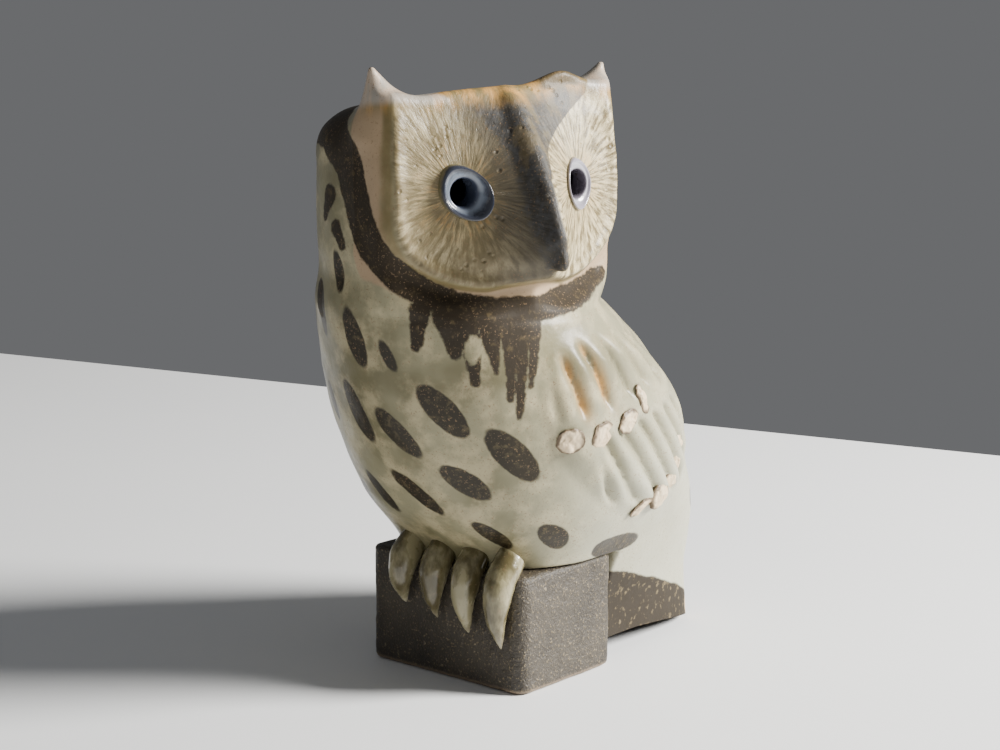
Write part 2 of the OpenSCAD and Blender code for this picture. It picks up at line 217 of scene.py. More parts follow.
def faceDepth(p, z):
    ridge, rimHalf, rimQ, sideHalf, backReach, flat = stationsAt(headStations, z)
    flat = clamp(flat)
    half = mix(neck["radius"] * 0.866, rimHalf, flat)
    s = clamp((np.sqrt(p * p + 2.0) - 0.6) / half)
    hollow = rimQ + (ridge - rimQ) * (1 - s) ** 2
    return mix(neck["radius"] * np.sqrt(1 - 0.75 * s * s), hollow, flat)


def crownTop(p, q):
    knob = 4.2 * np.exp(-((p - 22.5) / 9) ** 2 - ((29 - q) / 12) ** 2)
    sag = -1.2 * np.exp(-((p + 28) / 8) ** 2 - ((26 - q) / 12) ** 2)
    return crownZ - math.tan(math.radians(10)) * (30 - q) + knob + sag


def discEdge(p, z):
    # distance outside the outline of the nearer face disc
    a = np.abs(p)
    low = eyeZ - 8
    u, v = np.maximum(a - 14, 0), low - z + 3 * (1 - np.minimum(a / 14, 1))
    below = np.hypot(u / 29, np.maximum(v, 0) / (low - chinZ))
    curved = (below - 1) * 25
    side = a - 43 + 2 * smooth(z, crownZ - 25, crownZ)
    return np.where(v > 0, np.maximum(curved, side), side)


def headForm(p, q, z):
    ridge, rimHalf, rimQ, sideHalf, backReach, flat = stationsAt(headStations, z)
    flat = clamp(flat)
    depth = faceDepth(p, z)
    edge = discEdge(p, z)
    behind = np.hypot(p / sideHalf, q / backReach)
    back = (behind - 1) * np.hypot(p, q) / np.maximum(behind, 0.2)
    side = np.abs(p) - mix(sideHalf, rimHalf, clamp(q / rimQ))
    wall = mix(np.hypot(p, q) - neck["radius"], np.where(q < 0, back, side), flat)
    channel = 0.7 * np.exp(-((edge - 4.5) / 2.8) ** 2) * smooth(q, 8, 20)
    shell = softMax(wall, (q - depth) * 0.8, 4.0) + channel
    lip = 0.9 * np.exp(-((edge + 2.4) / 1.7) ** 2) * smooth(crownZ - z, 4, 12)
    plate = softMax(edge, (q - depth - 3.6 - lip) * 0.8, 2.2)
    plate = np.maximum(plate, depth - 9 - q)
    head = softMin(shell, plate, 3.4)
    dish = 3.0 * smooth(1 - np.hypot(p / 38, (q + 8) / 31), 0, 0.5)
    rounding = mix(15.0, 2.2, smooth(q, 2, 22))  # the back of the crown is pressed round
    return softMax(head, (z - crownTop(p, q) + dish) * 0.98, rounding)


ears = {  # root, tip, root radius, tip radius
    "right": ((-36.0, 17.5, crownZ - 11), (-43.2, 19.5, crownZ + 6.4), 9.8, 1.0),
    "left": ((36.5, 18.0, crownZ - 11), (42.2, 20.0, crownZ + 3.6), 9.0, 1.0)}
beakLine = [  # p, q, z, radius down the ridge
    (0, 30.5, crownZ - 8, 6.0), (0, 40.5, crownZ - 22, 6.4), (0, 50, eyeZ - 3, 6.2),
    (0, 56.3, eyeZ - 14, 5.6), (0, 60.4, eyeZ - 20.5, 2.6)]


def taperForm(p, q, z, start, end, radiusA, radiusB):
    a, b = np.array(start), np.array(end)
    d = b - a
    t = clamp(((p - a[0]) * d[0] + (q - a[1]) * d[1] + (z - a[2]) * d[2]) / d.dot(d))
    away = np.sqrt((p - a[0] - d[0] * t) ** 2 + (q - a[1] - d[1] * t) ** 2 + (z - a[2] - d[2] * t) ** 2)
    return away - mix(radiusA, radiusB, t)


def earForm(side, p, q, z):
    root, tip, radiusA, radiusB = ears[side]
    return taperForm(p, q, z, root, tip, radiusA, radiusB)


def beakForm(p, q, z):
    form = None
    for a, b in zip(beakLine[:-1], beakLine[1:]):
        part = taperForm(p * 1.45, q, z, a[:3], b[:3], a[3], b[3])
        form = part if form is None else np.minimum(form, part)
    return form


def handDrift(x, y, z):
    # the slow unevenness of a wall squeezed by hand
    return (0.45 * np.sin(0.11 * x + 0.4) * np.sin(0.09 * y + 1.1) * np.sin(0.08 * z + 0.3)
            + 0.14 * np.sin(0.23 * x + 0.19 * z) * np.sin(0.21 * y - 0.13 * z + 2.0)
            + 0.05 * np.sin(0.47 * x - 0.31 * z + 1.0) * np.sin(0.43 * y + 0.37 * z))


def skinForm(x, y, z):
    p, q = toHead(x, y)
    body = bodyForm(x, y, z)
    head = headForm(p, q, z)
    for side in ears:
        head = softMin(head, earForm(side, p, q, z), 5.0)
    head = softMin(head, beakForm(p, q, z), 4.0)
    skin = mix(body, head, smooth(z, neckZ - 2.5, neckZ + 2.5))
    notch = np.maximum(y - (blockD + 0.3), z - (blockTop + 0.2))
    return softMax(skin, -notch, 1.2) + handDrift(x, y, z)


# ---- the skin as one fine mesh ----

def makeGrid(step):
    low = np.array([cadBox[0][0] / mm + midX - 4, cadBox[0][1] / mm + midY - 4, -5.0])
    high = np.array([cadBox[1][0] / mm + midX + 4, cadBox[1][1] / mm + midY + 4, cadBox[1][2] / mm + 3])
    counts = np.ceil((high - low) / step).astype(int) + 1
    axes = [(low[k] + step * np.arange(counts[k])).astype(np.float32) for k in range(3)]
    x, y, z = axes[0][:, None, None], axes[1][None, :, None], axes[2][None, None, :]
    field = np.empty(counts, np.float32)
    for start in range(0, counts[2], 24):  # a few layers at a time keeps the arrays small
        part = slice(start, min(start + 24, counts[2]))
        field[:, :, part] = skinForm(x, y, z[:, :, part])
    slope = np.zeros(counts, np.float32)
    for k in range(3):
        slope += np.gradient(field, step, axis=k) ** 2
    field /= np.clip(np.sqrt(slope), 0.45, 3.0)
    return low, field


def sampleField(low, field, step, points):
    at = (points - low) / step
    base = np.clip(np.floor(at).astype(int), 0, np.array(field.shape) - 2)
    t = at - base
    total = np.zeros(len(points))
    for corner in range(8):
        bits = [(corner >> k) & 1 for k in range(3)]
        weight = np.prod([t[:, k] if bits[k] else 1 - t[:, k] for k in range(3)], axis=0)
        total += weight * field[base[:, 0] + bits[0], base[:, 1] + bits[1], base[:, 2] + bits[2]]
    return total


def slopeAt(low, field, step, points, reach):
    grad = np.zeros((len(points), 3))
    for k in range(3):
        move = np.zeros(3)
        move[k] = reach
        grad[:, k] = (sampleField(low, field, step, points + move)
                      - sampleField(low, field, step, points - move))
    return grad / np.maximum(np.linalg.norm(grad, axis=1), 1e-6)[:, None]


def meshSkin(step):
    low, field = makeGrid(step)
    grid = openvdb.FloatGrid(background=5.0)
    grid.copyFromArray(np.clip(field, -4, 4))
    grid.gridClass = openvdb.GridClass.LEVEL_SET
    points, quads = grid.convertToQuads(0.0)
    points = points.astype(float) * step + low
    quads = quads.astype(int)
    normals = slopeAt(low, field, step, points, step)
    for turnCount in range(2):  # settle the points on the form itself
        points -= normals * sampleField(low, field, step, points)[:, None]
    normals = slopeAt(low, field, step, points, step)
    a, b, c = points[quads[:, 0]], points[quads[:, 1]], points[quads[:, 2]]
    facing = (np.cross(b - a, c - a) * normals[quads].mean(axis=1)).sum(axis=1)
    if np.median(facing) < 0:
        quads = quads[:, ::-1]
    return low, field, points, quads, normals


# ---- markings, painted on the skin as distances in millimetres ----

# Most rows in these five tables are set at or near places worked out by a separate script.
# The report, report.md, says which ones.
spots = [  # angle round the body, height, half length, half width, lean
    (-13, 141, 7, 2.6, 12), (-26, 127, 9, 2.8, 8), (-4, 121, 10, 4, 15), (11, 116, 5.5, 2.4, 20),
    (-30, 95, 7, 2.6, 12), (-10, 95, 11, 4, 22), (7, 90, 9.5, 4.2, 35), (27, 99, 10, 5, 32),
    (47, 84, 10.5, 5.6, 32), (27, 74, 8.5, 4.6, 55), (5, 68, 9, 3.2, 40), (-13, 65, 8.5, 3, 32),
    (29, 54, 7.5, 3.6, 55), (58, 53, 7.5, 4.6, 65), (89, 44, 6.2, 3.8, 85),
    (-45, 112, 9, 4, -15), (-48, 80, 9.5, 4.6, -25), (-33, 60, 8, 4, -45), (-62, 55, 7.5, 4.4, -65),
    (-92, 45, 6.5, 4, -85), (150, 104, 9, 4.5, 10), (-152, 108, 9, 4.2, -12), (178, 90, 10, 4.6, 5),
    (158, 74, 9, 4.6, 18), (-160, 78, 9, 4.4, -20), (180, 60, 8, 4.4, 0), (142, 48, 7.5, 4, 50)]
collarLine = [  # angle round the neck, height, half width
    (-125, 184, 5), (-97, 187, 7.5), (-80, 177, 8), (-73, 164, 7), (-67, 152, 6.5), (-58, 144, 5),
    (-47, 137.5, 4.2), (-33, 133, 4), (-17, 131, 4.4), (-3, 131, 4.4), (15, 132, 4), (35, 133.5, 3.4),
    (52, 137, 2.4)]
collarBlots = [(-93, 165, -97, 158, 4, 2), (-88, 155, -84, 150, 3, 2), (-104, 134, -102, 127, 3, 2.4)]
drips = [  # from angle, height to angle, height, with the width at each end
    (-47, 131, -49, 120, 3.4, 1.8), (-36, 130, -33, 118, 5, 2.2), (-29, 128, -25, 109, 4.2, 1.6),
    (-20, 128, -17, 112, 4.2, 1), (-12, 128, -11, 103, 3.6, 1.2), (-7, 128, -7, 97, 3, 1.1),
    (-1, 129, -3, 107, 3, 1.1)]
browEdges = [  # height below the crown, left edge, right edge
    (0, -27, 33), (4, -20, 31), (8, -13, 25), (13, -10, 17), (19, -8, 8), (28, -7, 0.8), (38, -7, 0.4),
    (48, -5, 1), (54, -3, 2)]


def strokeEdge(u, v, stroke):
    a, b = np.array([stroke[0] * 0.8, stroke[1]]), np.array([stroke[2] * 0.8, stroke[3]])
    d = b - a
    t = clamp(((u - a[0]) * d[0] + (v - a[1]) * d[1]) / d.dot(d))
    return mix(stroke[4], stroke[5], t) - np.hypot(u - a[0] - d[0] * t, v - a[1] - d[1] * t)


def paintAt(points):
    x, y, z = points.T
    angle, out, radius = bodyTurn(x, y, z)
    p, q = toHead(x, y)
    around = np.degrees(np.arctan2(p, q))
    onHead = smooth(z, neckZ - 1, neckZ + 1)
    paint = {}
    spot = np.full(len(points), -20.0)
    for a, height, length, width, lean in spots:
        u = ((angle - a + 180) % 360 - 180) * 0.87
        v = z - height
        s, c = math.sin(math.radians(lean)), math.cos(math.radians(lean))
        alongSpot, across = u * s - v * c, u * c + v * s
        share = np.hypot(alongSpot / length, across / width)
        spot = np.maximum(spot, (1 - share) * width)
    paint["spotEdge"] = spot
    collar = np.full(len(points), -20.0)
    for a, b in zip(collarLine[:-1], collarLine[1:]):
        collar = np.maximum(collar, strokeEdge(around * 0.8, z, (a[0], a[1], b[0], b[1], a[2], b[2])))
    for stroke in collarBlots + drips:
        collar = np.maximum(collar, strokeEdge(around * 0.8, z, stroke))
    hole = np.hypot((around + 26) * 0.8 / 2.6, (z - 119.5) / 4.4)
    paint["collarEdge"] = np.minimum(collar, (hole - 1) * 2.6)
    below = crownZ - z
    heights = [row[0] for row in browEdges]
    left = np.interp(below, heights, [row[1] for row in browEdges])
    right = np.interp(below, heights, [row[2] for row in browEdges])
    front = smooth(q, 14, 22) * onHead
    lowEnd = z - (eyeZ - 23)
    paint["browLeft"] = np.minimum(p - left, lowEnd) * front - 20 * (1 - front)
    paint["browRight"] = np.minimum(right - p, lowEnd) * front - 20 * (1 - front)
    edge = discEdge(p, z)
    facing = smooth(q, 4, 14) * onHead
    paint["bandEdge"] = np.minimum(edge - 0.9, 9.5 - edge) * facing - 12 * (1 - facing)
    paint["rimLine"] = (1.0 - np.abs(edge - 0.5)) * facing - 4 * (1 - facing)
    paint["discIn"] = smooth(-edge, 0, 1.5) * smooth(q - faceDepth(p, z), 0.8, 2.4) * facing
    top = z - crownTop(p, q)
    paint["crownIn"] = smooth(top, -4.5, -1.5) * onHead
    paint["browRim"] = smooth(top, -9, -1.5) * smooth(q, 12, 22) * onHead
    knob = np.exp(-((p - 22) / 9) ** 2) * smooth(top, -7, -2) * smooth(q, 8, 20)
    paint["knobDark"] = knob * onHead
    deepA, deepB = grooveDepth(angle, z)
    onWing = smooth(1 - wingPlace(angle, z)[0] ** 2 - wingPlace(angle, z)[1] ** 2, 0, 0.3) * (1 - onHead)
    paint["groove"] = np.maximum(deepA, deepB) * onWing
    amberAt = np.exp(-((np.abs(angle) - 76.5) / 2.6) ** 2) + np.exp(-((np.abs(angle) - 87.5) / 2.6) ** 2)
    paint["amber"] = amberAt * smooth(z, 90, 97) * (1 - smooth(z, 116, 122)) * onWing
    paint["milk"] = smooth(angle, 25, 100) * (1 - smooth(z, 60, 118)) + 0.35 * smooth(angle, 60, 120)
    # three of these heights were worked out by a separate script, see report.md
    glazeLine = np.interp(np.abs(angle), [70, 90, 101, 120, 150, 170], [39, 33, 26, 18, 9, 6])
    paint["footEdge"] = np.where(z < blockTop + 3, glazeLine - z, -8)
    paint["tipBare"] = np.exp(-((np.abs(angle) - 150) / 10) ** 2 - ((z - 5) / 5) ** 2)
    eyeP = np.abs(p) - eyeAt
    paint["eyeTurn"] = np.arctan2(z - eyeZ, eyeP)
    paint["eyeAway"] = np.hypot(eyeP, z - eyeZ)
    paint["rightSide"] = smooth(-p, -1, 1) * onHead
    return paint


# ---- parting the skin into the potter's pieces ----

ringHalf = {"right": (7.0, 9.1, -24), "left": (6.5, 8.4, -8)}  # half width, half height, lean
pieceNames = ["body_shell", "tail_skirt", "head_shell", "crown_plate", "face_disc_right",
              "face_disc_left", "beak", "ear_tuft_right", "ear_tuft_left", "wing_right", "wing_left"]


def ringAway(side, p, z):
    # 1 on the almond outline of an eye ring, less inside it
    wide, tall, lean = ringHalf[side]
    sign = -1 if side == "right" else 1
    s, c = math.sin(math.radians(lean)), math.cos(math.radians(lean))
    u, v = p - sign * eyeAt, z - eyeZ
    u, v = u * c - v * s, u * s + v * c
    return (np.abs(u / wide) ** 1.8 + np.abs(v / tall) ** 1.8) ** (1 / 1.8)


def pieceAt(points):
    x, y, z = points.T
    angle, out, radius = bodyTurn(x, y, z)
    along, up = wingPlace(angle, z)
    p, q = toHead(x, y)
    top = z - crownTop(p, q)
    index = {name: i for i, name in enumerate(pieceNames)}
    piece = np.full(len(points), index["body_shell"])
    piece[(z < blockTop - 0.8) | ((z < blockTop + 0.2) & (y > blockD + 1.5))] = index["tail_skirt"]
    onWing = (1 - along**2 - up**2 > -0.04) & (z < neckZ - 1)
    piece[onWing & (x < 0)] = index["wing_right"]
    piece[onWing & (x > 0)] = index["wing_left"]
    head = z > neckZ
    piece[head] = index["head_shell"]
    piece[head & (top > -4)] = index["crown_plate"]
    disc = head & (discEdge(p, z) < 0.2) & (q - faceDepth(p, z) > 1.0) & (top < -3)
    piece[disc & (p < 0)] = index["face_disc_right"]
    piece[disc & (p >= 0)] = index["face_disc_left"]
    piece[head & (beakForm(p, q, z) < 1.4) & (top < -9) & (q > 30)] = index["beak"]
    for side in ears:
        near = head & (earForm(side, p, q, z) < 1.6) & (z > crownZ - 5)
        piece[near] = index["ear_tuft_" + side]
    for side in ringHalf:
        sign = -1 if side == "right" else 1
        piece[head & (q > 20) & (sign * p > 5) & (ringAway(side, p, z) < 0.86)] = -1
    across = (180 - np.abs(angle)) / 82
    piece[z < 7 * clamp(across) ** 1.5] = -1
    return piece


wallOf = {"body_shell": 4.6, "tail_skirt": 4.6, "head_shell": 4.6, "crown_plate": 3.6, "beak": 2.4,
          "face_disc_right": 3.0, "face_disc_left": 3.0, "ear_tuft_right": 1.8, "ear_tuft_left": 1.8,
          "wing_right": 2.2, "wing_left": 2.2}


def toFrame(points):
    return (points - np.array([midX, midY, 0])) * mm


def addPiece(name, points, faces, material):
    mesh = bpy.data.meshes.new(name)
    mesh.from_pydata(toFrame(points).tolist(), [], faces)
    mesh.materials.append(material)
    piece = bpy.data.objects.new(name, mesh)
    bpy.context.scene.collection.objects.link(piece)
    mesh.polygons.foreach_set("use_smooth", np.ones(len(mesh.polygons), bool))
    return piece


def setValues(mesh, name, values):
    layer = mesh.attributes.new(name, "FLOAT", "POINT")
    layer.data.foreach_set("value", np.asarray(values, np.float32))


def closePiece(name, skin, labels, material):
    # the outer skin of one piece, a copy of it one wall deeper, and a band that joins their edges
    low, field, step, points, quads, normals, paint = skin
    chosen = quads[labels == pieceNames.index(name)]
    used, local = np.unique(chosen, return_inverse=True)
    chosen = local.reshape(-1, 4)
    outer, normal = points[used], normals[used]
    if name == "tail_skirt":  # the foot's edge is trimmed clean on its arch
        edges = np.concatenate([chosen[:, [k, (k + 1) % 4]] for k in range(4)])
        keys = set(map(tuple, edges.tolist()))
        rim = np.array(sorted({v for a, b in keys if (b, a) not in keys for v in (a, b)}))
        x, y, z = outer[rim].T
        angle = bodyTurn(x, y, z)[0]
        arch = 7 * clamp((180 - np.abs(angle)) / 82) ** 1.5
        rim, arch = rim[z < arch + 3], arch[z < arch + 3]
        outer[rim, 2] = arch
        normal[rim, 2] = 0
    depth = np.full(len(outer), wallOf[name])
    for attempt in range(4):  # thinner wherever the wall would come out on the far side
        inside = outer - normal * depth[:, None]
        shallow = sampleField(low, field, step, inside) > -0.55 * depth
        depth[shallow] *= 0.6
    inner = outer - normal * depth[:, None]
    if name == "tail_skirt":
        inner[:, 2] = np.maximum(inner[:, 2], 0)
        inner[rim, 2] = outer[rim, 2]
    count = len(outer)
    edges = np.concatenate([chosen[:, [k, (k + 1) % 4]] for k in range(4)])
    code = edges[:, 0] * count + edges[:, 1]
    back = edges[:, 1] * count + edges[:, 0]
    loose = edges[~np.isin(code, back)]
    band = np.stack([loose[:, 1], loose[:, 0], loose[:, 0] + count, loose[:, 1] + count], 1)
    faces = np.concatenate([chosen, chosen[:, ::-1] + count, band])
    piece = addPiece(name, np.concatenate([outer, inner]), faces.tolist(), material)
    mesh = piece.data
    for key, values in paint.items():
        setValues(mesh, key, np.concatenate([values[used], values[used]]))
    setValues(mesh, "insideWall", np.concatenate([np.zeros(count), np.ones(count)]))
    loops = np.zeros(len(mesh.loops), int)
    mesh.loops.foreach_get("vertex_index", loops)
    loopNormals = np.zeros((len(loops), 3))
    skinLoops = len(chosen) * 4
    loopNormals[:skinLoops] = normal[loops[:skinLoops]]
    mesh.normals_split_custom_set(loopNormals.tolist())
    return piece


# ---- wires between nodes ----

class Wire:
    # a node's socket that sums, scales and compares like a number
    def __init__(self, tree, socket):
        self.tree, self.socket = tree, socket

    def plug(self, value, target):
        if isinstance(value, Wire):
            self.tree.links.new(value.socket, target)
        else:
            target.default_value = value

    def maths(self, kind, *values, clampIt=False):
        step = self.tree.nodes.new("ShaderNodeMath")
        step.operation, step.use_clamp = kind, clampIt
        for value, target in zip(values, step.inputs):
            self.plug(value, target)
        return Wire(self.tree, step.outputs[0])

    def __add__(self, other): return self.maths("ADD", self, other)
    def __radd__(self, other): return self.maths("ADD", other, self)
    def __sub__(self, other): return self.maths("SUBTRACT", self, other)
    def __rsub__(self, other): return self.maths("SUBTRACT", other, self)
    def __mul__(self, other): return self.maths("MULTIPLY", self, other)
    def __rmul__(self, other): return self.maths("MULTIPLY", other, self)
    def __truediv__(self, other): return self.maths("DIVIDE", self, other)
    def __pow__(self, other): return self.maths("POWER", self, other)
    def highest(self, other): return self.maths("MAXIMUM", self, other)
    def size(self): return self.maths("ABSOLUTE", self)
    def held(self): return self.maths("ADD", self, 0.0, clampIt=True)

    def over(self, low, high):
        # 0 below low, 1 above high, eased between
        ease = self.tree.nodes.new("ShaderNodeMapRange")
        ease.interpolation_type = "SMOOTHSTEP"
        self.plug(self, ease.inputs["Value"])
        ease.inputs["From Min"].default_value, ease.inputs["From Max"].default_value = low, high
        return Wire(self.tree, ease.outputs[0])


class Bench:
    # a node tree with short ways to add nodes to it
    def __init__(self, tree):
        self.tree = tree

    def add(self, kind, settings=None, out=0, **values):
        made = self.tree.nodes.new(kind)
        for key, value in (settings or {}).items():
            setattr(made, key, value)
        for key, value in values.items():
            target = made.inputs[int(key[1:])] if key[0] == "i" and key[1:].isdigit() else made.inputs[key]
            if isinstance(value, Wire):
                self.tree.links.new(value.socket, target)
            else:
                target.default_value = value
        return Wire(self.tree, made.outputs[out])

    def blend(self, share, a, b):
        made = self.tree.nodes.new("ShaderNodeMix")
        made.data_type = "RGBA"
        for value, target in ((share, made.inputs[0]), (a, made.inputs[6]), (b, made.inputs[7])):
            if isinstance(value, Wire):
                self.tree.links.new(value.socket, target)
            else:
                target.default_value = (*value, 1) if isinstance(value, tuple) else value
        return Wire(self.tree, made.outputs[2])

    def read(self, name):
        return self.add("ShaderNodeAttribute", {"attribute_name": name}, out=2)


# ---- glazes and clay ----

def newMaterial(name):
    material = bpy.data.materials.new(name)
    material.use_nodes = True
    tree = material.node_tree
    tree.nodes.clear()
    bench = Bench(tree)
    shader = tree.nodes.new("ShaderNodeBsdfPrincipled")
    out = tree.nodes.new("ShaderNodeOutputMaterial")
    tree.links.new(shader.outputs[0], out.inputs[0])
    place = bench.add("ShaderNodeTexCoord", out=3)
    return material, bench, shader, place


def finishGlaze(bench, shader, colour, rough, bump, fixed):
    # bump is strength, reach and height; fixed holds the shader's plain values
    height = bench.add("ShaderNodeBump", {}, Strength=bump[0], Distance=bump[1], Height=bump[2])
    for label, wire in (("Base Color", colour), ("Roughness", rough.held()), ("Normal", height)):
        bench.tree.links.new(wire.socket, shader.inputs[label])
    for label, value in fixed.items():
        shader.inputs[label].default_value = value


def grain(bench, place, scale, detail=4.0, rough=0.55, stretch=None):
    if stretch:
        place = bench.add("ShaderNodeMapping", {}, Vector=place, Scale=stretch)
    return bench.add("ShaderNodeTexNoise", {}, Vector=place, Scale=scale, Detail=detail,
                     Roughness=rough)


tones = {
    "celadon": (0.25, 0.23, 0.14), "celadonDeep": (0.14, 0.125, 0.065), "cream": (0.48, 0.41, 0.25),
    "milk": (0.42, 0.41, 0.31), "brownThin": (0.20, 0.13, 0.07), "spot": (0.020, 0.015, 0.007),
    "spotSpeck": (0.075, 0.058, 0.028), "collar": (0.024, 0.017, 0.009), "collarEdge": (0.09, 0.065, 0.03),
    "brow": (0.075, 0.066, 0.052), "browDark": (0.036, 0.033, 0.029), "slate": (0.055, 0.056, 0.058),
    "olive": (0.17, 0.125, 0.05),
    "band": (0.36, 0.26, 0.16), "amber": (0.42, 0.235, 0.07),
    "clay": (0.026, 0.020, 0.013), "claySpeck": (0.24, 0.185, 0.10), "bare": (0.60, 0.44, 0.25),
    "discCream": (0.54, 0.46, 0.28), "discShade": (0.14, 0.11, 0.055), "crownReflectionGrey": (0.42, 0.41, 0.40)}


def celadonGlaze(name, gloss):
    # one recipe for the whole skin, so that the glaze runs on over the joints
    material, bench, shader, place = newMaterial(name)
    read = bench.read
    broad = grain(bench, place, 38, 3)
    cloud = grain(bench, place, 95, 5, 0.6)
    fine = grain(bench, place, 420, 4, 0.6)
    dust = grain(bench, place, 1500, 2, 0.5)
    runs = grain(bench, place, 160, 4, 0.6, stretch=(1, 1, 0.22))
    wander = (cloud - 0.5) * 3.2 + (fine - 0.5) * 2.6 + (runs - 0.5) * 1.6
    colour = bench.blend(broad.over(0.35, 0.65), tones["celadon"], tones["celadonDeep"])
    colour = bench.blend(cloud.over(0.42, 0.66) * 0.60, colour, tones["cream"])
    colour = bench.blend((read("milk") * 0.75 * (0.55 + broad * 0.9)).held(), colour, tones["milk"])
    # the discs: cream, combed outwards from each eye
    comb = bench.add("ShaderNodeCombineXYZ", X=read("eyeTurn") * 9.0, Y=read("eyeAway") * 0.10,
                     Z=read("rightSide") * 5.0)
    combed = bench.add("ShaderNodeTexNoise", {}, Vector=comb, Scale=1.6, Detail=5.0, Roughness=0.62)
    disc = bench.blend(combed.over(0.38, 0.62), tones["discShade"], tones["discCream"])
    # painted shade: the owl's right disc, on the side turned from the light, is darkened unevenly towards
    # the disc shade tone
    shaded = read("rightSide") * (0.50 + cloud.over(0.4, 0.65) * 0.45)
    disc = bench.blend(shaded.held(), disc, tones["discShade"])
    stain = (read("eyeAway").over(19, 9) * combed.over(0.5, 0.66) * 0.55).held()
    disc = bench.blend(stain, disc, tones["amber"])
    # the inner part of the owl's right disc, beside the brow, takes the brow tone: partly the grey glaze
    # wash, partly painted shade
    shadeIn = (read("browLeft") + 13.0 + wander * 1.6).over(-2, 12) * 0.8
    disc = bench.blend(shadeIn.held() * read("rightSide"), disc, tones["brow"])
    colour = bench.blend(read("discIn"), colour, disc)
    colour = bench.blend((read("bandEdge") + wander * 0.35).over(-0.4, 0.9), colour, tones["band"])
    rimIn = (read("rimLine") + wander * 0.25).over(-0.5, 0.7) * 0.75
    colour = bench.blend(rimIn.held(), colour, tones["olive"])
    # thin and pooled glaze on the wings
    colour = bench.blend((read("groove") * 0.5).held(), colour, tones["celadonDeep"])
    amberIn = read("amber") * (0.25 + read("groove")) * 1.1 * runs.over(0.3, 0.6)
    colour = bench.blend(amberIn.held(), colour, tones["amber"])
    # brow, crown edge and knob
    browIn = (read("browLeft") + wander * 0.9).over(-1.4, 1.6)
    browIn = browIn * (read("browRight") + wander * 0.35).over(-0.5, 0.5)
    browTone = bench.blend(fine.over(0.35, 0.7), tones["browDark"], tones["slate"])
    browTone = bench.blend((runs.over(0.5, 0.62) * 0.35).held(), browTone, tones["olive"])
    colour = bench.blend((browIn * 0.94).held(), colour, browTone)
    rimTone = bench.blend(runs.over(0.4, 0.6), tones["olive"], tones["amber"])
    colour = bench.blend((read("browRim") * (0.65 + cloud * 0.8)).held(), colour, rimTone)
    # pale grey in the crown's dish: a painted reflection on its glossy top
    colour = bench.blend((read("crownIn") * (1 - browIn) * 0.55).held(), colour, tones["crownReflectionGrey"])
    knobIn = (read("knobDark") * 1.3 + (cloud - 0.5)).over(0.35, 0.75)
    colour = bench.blend(knobIn, colour, tones["collarEdge"])
    # spots and collar, brushed in iron
    spotIn = (read("spotEdge") + wander * 0.30).over(-0.35, 0.35)
    spotTone = bench.blend(fine.over(0.5, 0.72), tones["spot"], tones["spotSpeck"])
    colour = bench.blend(spotIn, colour, spotTone)
    collarIn = (read("collarEdge") + wander * 0.75).over(-0.45, 0.55)
    collarTone = bench.blend((fine.over(0.52, 0.74) * 0.7).held(), tones["collar"], tones["collarEdge"])
    colour = bench.blend(collarIn, colour, collarTone)
    # specks, pits and the bare foot
    specks = dust.over(0.60, 0.70) * cloud.over(0.32, 0.55)
    colour = bench.blend((specks * 0.75).held(), colour, tones["brownThin"])
    footIn = (read("footEdge") + wander * 0.4).over(-0.6, 0.6)
    footTone = bench.blend((fine.over(0.55, 0.7) * 0.55).held(), tones["clay"], tones["claySpeck"])
    colour = bench.blend(footIn, colour, footTone)
    colour = bench.blend((read("tipBare") + (cloud - 0.5) * 1.3).over(0.42, 0.62), colour, tones["bare"])
    colour = bench.blend(read("insideWall"), colour, tones["clay"])
    matt = (collarIn * 0.26 + browIn * 0.16 + footIn * 0.45 + read("bandEdge").over(-0.4, 0.9) * 0.2
            + (fine - 0.5) * 0.25 + (cloud - 0.5) * 0.22 + gloss)
    pitSpots = bench.add("ShaderNodeTexVoronoi", {}, Vector=place, Scale=330.0)
    pits = (0.30 - pitSpots).highest(0.0) * cloud.over(0.5, 0.62) * (read("discIn") * 3.0 + 0.6)
    height = (cloud * 0.35 + fine * 0.16 + dust * 0.03 - pits * 0.9 - spotIn * 0.07 - collarIn * 0.05
              + combed * read("discIn") * 0.55)
    finishGlaze(bench, shader, colour, matt + read("insideWall") * 0.5, (0.55, 0.0011, height),
                {"Coat Weight": 0.04, "Specular IOR Level": 0.24, "Coat Roughness": 0.16})
    return material


def darkStoneware(name):
    material, bench, shader, place = newMaterial(name)
    cloud = grain(bench, place, 60, 4)
    fine = grain(bench, place, 650, 3, 0.6)
    grit = grain(bench, place, 1300, 2, 0.6)
    colour = bench.blend(cloud.over(0.3, 0.7), tones["clay"], (0.050, 0.040, 0.027))
    colour = bench.blend((grit.over(0.58, 0.70) * 0.65).held(), colour, tones["claySpeck"])
    colour = bench.blend((fine.over(0.62, 0.74) * 0.45).held(), colour, (0.33, 0.27, 0.18))
    height = bench.add("ShaderNodeSeparateXYZ", out=2, Vector=place)
    colour = bench.blend((height.over(0.0022, 0.0006) * 0.5).held(), colour, (0.45, 0.33, 0.22))
    rough = 0.52 + (cloud - 0.5) * 0.3 + (grit - 0.5) * 0.2
    finishGlaze(bench, shader, colour, rough, (0.7, 0.0009, fine * 0.7 + grit * 0.4 + cloud * 0.5), {})
    return material


